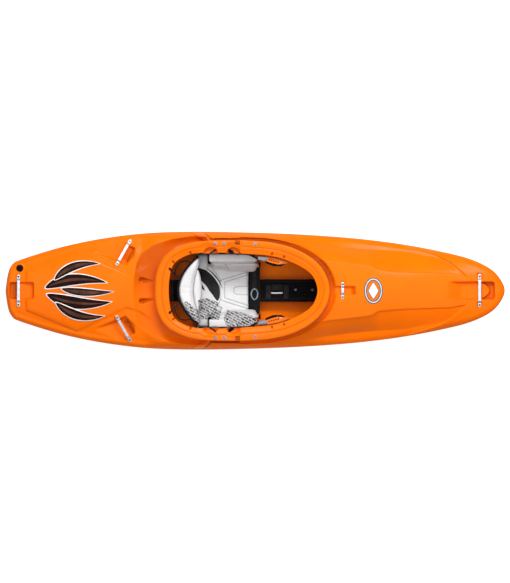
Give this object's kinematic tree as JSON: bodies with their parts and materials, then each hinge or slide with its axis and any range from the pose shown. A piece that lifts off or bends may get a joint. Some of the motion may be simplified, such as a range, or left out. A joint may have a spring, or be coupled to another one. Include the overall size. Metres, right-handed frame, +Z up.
{
  "type": "whitewater kayak",
  "caption": "Decked plastic river kayak with an oval cockpit, padded sliding seat, tilting backrest, thigh hooks, grab handles and an adjustable footplate.",
  "frame": {"origin": "on the plane that the flat bottom stands on, under the middle of the boat", "axes": "+X to the bow, +Y to port, +Z up"},
  "size_m": [2.74, 0.65, 0.3847],
  "materials": {
    "hull": "smooth moulded polyethylene, bright orange",
    "hook": "orange moulded plastic",
    "steel": "polished stainless steel",
    "black_plastic": "black moulded plastic",
    "foam": "black closed-cell foam",
    "cushion": "light grey foam cover with printed black pattern",
    "webbing": "dark grey webbing",
    "cord": "black braided cord",
    "strap": "dark blue-grey ladder strap"
  },
  "bodies": {
    "hull": {"hull_shell": "hull", "stern_grab_handle": "steel", "stern_port_handle": "steel", "stern_starboard_handle": "steel", "front_deck_handle": "steel", "bow_grab_handle": "steel", "stern_grab_screw_1": "steel", "stern_grab_screw_2": "steel", "stern_port_screw_1": "steel", "stern_port_screw_2": "steel", "stern_starboard_screw_1": "steel", "stern_starboard_screw_2": "steel", "front_deck_screw_1": "steel", "front_deck_screw_2": "steel", "bow_grab_screw_1": "steel", "bow_grab_screw_2": "steel", "rim_bolt_port_1": "steel", "rim_bolt_port_2": "steel", "rim_bolt_port_3": "steel", "rim_bolt_starboard_1": "steel", "rim_bolt_starboard_2": "steel", "rim_bolt_starboard_3": "steel", "seat_rails": "black_plastic", "rear_pillar": "foam", "centre_beam": "black_plastic", "beam_band_1": "webbing", "beam_band_2": "webbing", "beam_screw_1": "steel", "beam_screw_2": "steel", "backrest_tie_port": "cord", "backrest_tie_starboard": "cord", "ladder_strap_port": "strap", "ladder_strap_starboard": "strap"},
    "drain_plug_body": {"drain_plug": "black_plastic"},
    "seat": {"seat_pan": "black_plastic", "seat_pad": "cushion", "hip_pad_port": "cushion", "hip_pad_starboard": "cushion", "seat_bracket_port": "black_plastic", "seat_bracket_starboard": "black_plastic", "lifter_plate": "black_plastic", "lifter_webbing": "webbing", "lifter_ring": "steel"},
    "backrest": {"backrest_shell": "black_plastic", "backrest_pad": "cushion", "backrest_pin_port": "steel", "backrest_pin_starboard": "steel", "backrest_loop_port": "cord", "backrest_loop_starboard": "cord"},
    "footrest": {"footplate": "black_plastic"},
    "hook_port": {"thigh_hook_port": "hook", "thigh_hook_screw_port": "steel", "thigh_pad_port": "foam", "ratchet_port": "steel"},
    "lever_port": {"ratchet_lever_port": "steel"},
    "hook_starboard": {"thigh_hook_starboard": "hook", "thigh_hook_screw_starboard": "steel", "thigh_pad_starboard": "foam", "ratchet_starboard": "steel"},
    "lever_starboard": {"ratchet_lever_starboard": "steel"}
  },
  "joints": [
    {"name": "drain_plug_turn", "type": "hinge", "parent": "hull", "child": "drain_plug_body", "pos_m": [-1.29, 0.123, 0.21], "axis": [0, 0, 1], "range_deg": [0, 720]},
    {"name": "seat_slide", "type": "slide", "parent": "hull", "child": "seat", "axis": [1, 0, 0], "range_m": [-0.008, 0.03], "deforming": ["backrest_tie_port", "backrest_tie_starboard", "ladder_strap_port", "ladder_strap_starboard"]},
    {"name": "backrest_tilt", "type": "hinge", "parent": "seat", "child": "backrest", "pos_m": [-0.312, 0, 0.19], "axis": [0, 1, 0], "range_deg": [-3, 48], "deforming": ["backrest_tie_port", "backrest_tie_starboard", "ladder_strap_port", "ladder_strap_starboard"]},
    {"name": "footplate_slide", "type": "slide", "parent": "hull", "child": "footrest", "axis": [1, 0, 0], "range_m": [-0.12, 0.1]},
    {"name": "thigh_hook_slide_port", "type": "slide", "parent": "hull", "child": "hook_port", "axis": [0.9961, 0, 0.0886], "range_m": [-0.022, 0.022], "deforming": ["ladder_strap_port"]},
    {"name": "ratchet_lever_port", "type": "hinge", "parent": "hook_port", "child": "lever_port", "pos_m": [0.06573, 0.17056, 0.3286], "axis": [0.1564, 0.9877, 0], "range_deg": [0, 75]},
    {"name": "thigh_hook_slide_starboard", "type": "slide", "parent": "hull", "child": "hook_starboard", "axis": [0.9961, 0, 0.0886], "range_m": [-0.022, 0.022], "deforming": ["ladder_strap_starboard"]},
    {"name": "ratchet_lever_starboard", "type": "hinge", "parent": "hook_starboard", "child": "lever_starboard", "pos_m": [0.06573, -0.17056, 0.3286], "axis": [-0.1564, 0.9877, 0], "range_deg": [0, 75]}
  ]
}
